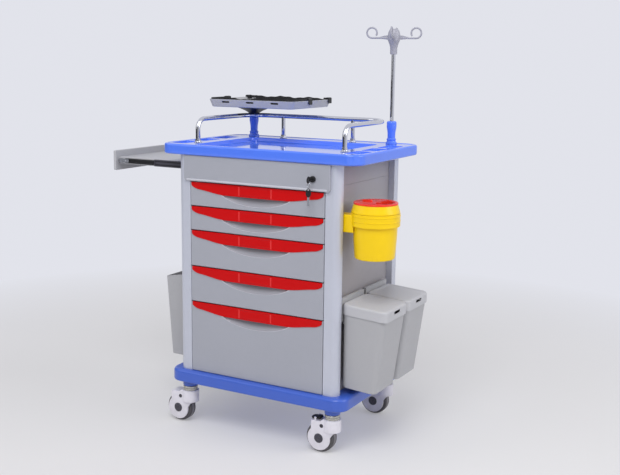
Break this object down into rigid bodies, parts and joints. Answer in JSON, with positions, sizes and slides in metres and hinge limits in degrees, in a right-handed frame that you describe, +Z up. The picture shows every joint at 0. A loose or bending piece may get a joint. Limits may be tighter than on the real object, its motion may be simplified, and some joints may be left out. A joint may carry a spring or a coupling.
{
  "type": "instrument cart",
  "caption": "Wheeled clinic cart with stacked drawers, railed worktop, swivelling device platform, drip pole, pull-out shelf, side bins and sharps pot",
  "frame": {"origin": "centre of the overall box, on the floor under the wheels", "axes": "+Z up; the drawers open towards -Y; +X to the right of someone facing the drawers, where the bins hang"},
  "size_m": [1.101, 0.587, 1.3688],
  "materials": {
    "worktop_blue": "smooth blue moulding",
    "base_blue": "smooth blue moulding",
    "column_silver": "satin silver paint on extrusion",
    "panel_grey": "fine grey powder coat",
    "front_grey": "satin grey",
    "box_grey": "satin pale grey",
    "handle_red": "clear-coated red",
    "chrome": "polished",
    "caster_white": "white moulding",
    "tyre_grey": "grey tread",
    "black_plastic": "black",
    "strap_black": "woven elastic",
    "head_grey": "grey moulding",
    "tray_grey": "pale grey moulding",
    "bin_grey": "grain-free grey moulding",
    "sharps_yellow": "yellow moulding",
    "lid_red": "red moulding"
  },
  "bodies": {
    "cabinet": {"back_panel": "panel_grey", "base_tray": "base_blue", "bin_back": "bin_grey", "bin_front": "bin_grey", "column_back_left": "column_silver", "column_back_right": "column_silver", "column_front_left": "column_silver", "column_front_right": "column_silver", "guard_rail": "chrome", "lock_cylinder": "black_plastic", "platform_sleeve": "worktop_blue", "pole_sleeve": "worktop_blue", "sharps_bracket": "sharps_yellow", "sharps_container": "sharps_yellow", "shelf_deck": "panel_grey", "side_panel_left": "panel_grey", "side_panel_right": "panel_grey", "storage_box": "bin_grey", "top_fascia": "front_grey", "worktop": "worktop_blue"},
    "drawer_1": {"drawer_1_front": "front_grey", "drawer_1_handle": "handle_red", "drawer_1_box": "box_grey"},
    "drawer_2": {"drawer_2_front": "front_grey", "drawer_2_handle": "handle_red", "drawer_2_box": "box_grey"},
    "drawer_3": {"drawer_3_front": "front_grey", "drawer_3_handle": "handle_red", "drawer_3_box": "box_grey"},
    "drawer_4": {"drawer_4_front": "front_grey", "drawer_4_handle": "handle_red", "drawer_4_box": "box_grey"},
    "drawer_5": {"drawer_5_front": "front_grey", "drawer_5_handle": "handle_red", "drawer_5_box": "box_grey"},
    "shelf": {"shelf_board": "tray_grey", "shelf_end": "tray_grey", "shelf_slide_front": "black_plastic", "shelf_slide_back": "black_plastic"},
    "caster_front_left": {"caster_front_left_housing": "caster_white"},
    "wheel_front_left": {"caster_front_left_wheel": "tyre_grey"},
    "caster_front_right": {"caster_front_right_housing": "caster_white"},
    "wheel_front_right": {"caster_front_right_wheel": "tyre_grey"},
    "brake_front_right": {"caster_front_right_pedal": "black_plastic"},
    "caster_back_left": {"caster_back_left_housing": "caster_white"},
    "wheel_back_left": {"caster_back_left_wheel": "tyre_grey"},
    "brake_back_left": {"caster_back_left_pedal": "black_plastic"},
    "caster_back_right": {"caster_back_right_housing": "caster_white"},
    "wheel_back_right": {"caster_back_right_wheel": "tyre_grey"},
    "drip_pole": {"iv_pole": "chrome", "hook_head": "head_grey"},
    "platform": {"platform_pivot": "black_plastic", "defib_platform": "tray_grey", "strap_1": "strap_black", "strap_2": "strap_black"},
    "key": {"lock_key": "black_plastic"},
    "bin_front_lid": {"bin_front_lid": "bin_grey"},
    "bin_back_lid": {"bin_back_lid": "bin_grey"},
    "sharps_lid": {"sharps_lid": "lid_red"}
  },
  "joints": [
    {"name": "drawer_1_slide", "type": "slide", "parent": "cabinet", "child": "drawer_1", "axis": [0, -1, 0], "range_m": [0, 0.33]},
    {"name": "drawer_2_slide", "type": "slide", "parent": "cabinet", "child": "drawer_2", "axis": [0, -1, 0], "range_m": [0, 0.33]},
    {"name": "drawer_3_slide", "type": "slide", "parent": "cabinet", "child": "drawer_3", "axis": [0, -1, 0], "range_m": [0, 0.33]},
    {"name": "drawer_4_slide", "type": "slide", "parent": "cabinet", "child": "drawer_4", "axis": [0, -1, 0], "range_m": [0, 0.33]},
    {"name": "drawer_5_slide", "type": "slide", "parent": "cabinet", "child": "drawer_5", "axis": [0, -1, 0], "range_m": [0, 0.33]},
    {"name": "shelf_slide", "type": "slide", "parent": "cabinet", "child": "shelf", "axis": [-1, 0, 0], "range_m": [-0.354, 0.02]},
    {"name": "caster_front_left_swivel", "type": "hinge", "parent": "cabinet", "child": "caster_front_left", "pos_m": [-0.19405, -0.2215, 0.155], "axis": [0, 0, 1], "continuous": true},
    {"name": "wheel_front_left_spin", "type": "hinge", "parent": "caster_front_left", "child": "wheel_front_left", "pos_m": [-0.23205, -0.2215, 0.04969], "axis": [0, 1, 0], "continuous": true},
    {"name": "caster_front_right_swivel", "type": "hinge", "parent": "cabinet", "child": "caster_front_right", "pos_m": [0.36695, -0.2215, 0.155], "axis": [0, 0, 1], "continuous": true},
    {"name": "wheel_front_right_spin", "type": "hinge", "parent": "caster_front_right", "child": "wheel_front_right", "pos_m": [0.32895, -0.2215, 0.04969], "axis": [0, 1, 0], "continuous": true},
    {"name": "brake_front_right_rock", "type": "hinge", "parent": "caster_front_right", "child": "brake_front_right", "pos_m": [0.31295, -0.2215, 0.1142], "axis": [0, 1, 0], "range_deg": [0, 15]},
    {"name": "caster_back_left_swivel", "type": "hinge", "parent": "cabinet", "child": "caster_back_left", "pos_m": [-0.19405, 0.1885, 0.155], "axis": [0, 0, 1], "continuous": true},
    {"name": "wheel_back_left_spin", "type": "hinge", "parent": "caster_back_left", "child": "wheel_back_left", "pos_m": [-0.23205, 0.1885, 0.04969], "axis": [0, 1, 0], "continuous": true},
    {"name": "brake_back_left_rock", "type": "hinge", "parent": "caster_back_left", "child": "brake_back_left", "pos_m": [-0.24805, 0.1885, 0.1142], "axis": [0, 1, 0], "range_deg": [0, 15]},
    {"name": "caster_back_right_swivel", "type": "hinge", "parent": "cabinet", "child": "caster_back_right", "pos_m": [0.36695, 0.1885, 0.155], "axis": [0, 0, 1], "continuous": true},
    {"name": "wheel_back_right_spin", "type": "hinge", "parent": "caster_back_right", "child": "wheel_back_right", "pos_m": [0.32895, 0.1885, 0.04969], "axis": [0, 1, 0], "continuous": true},
    {"name": "drip_pole_lift", "type": "slide", "parent": "cabinet", "child": "drip_pole", "axis": [0, 0, 1], "range_m": [-0.2, 0.28]},
    {"name": "platform_swivel", "type": "hinge", "parent": "cabinet", "child": "platform", "pos_m": [-0.19155, 0.1885, 1.0893], "axis": [0, 0, 1], "continuous": true},
    {"name": "lock_turn", "type": "hinge", "parent": "cabinet", "child": "key", "pos_m": [0.30195, -0.2545, 0.8948], "axis": [0, -1, 0], "range_deg": [-90, 0]},
    {"name": "bin_front_lid_hinge", "type": "hinge", "parent": "cabinet", "child": "bin_front_lid", "pos_m": [0.38645, -0.1255, 0.5005], "axis": [0, -1, 0], "range_deg": [0, 55]},
    {"name": "bin_back_lid_hinge", "type": "hinge", "parent": "cabinet", "child": "bin_back_lid", "pos_m": [0.38645, 0.0505, 0.5005], "axis": [0, -1, 0], "range_deg": [0, 55]},
    {"name": "sharps_lid_turn", "type": "hinge", "parent": "cabinet", "child": "sharps_lid", "pos_m": [0.47295, -0.1565, 0.8], "axis": [0, 0, 1], "range_deg": [-90, 90]}
  ]
}
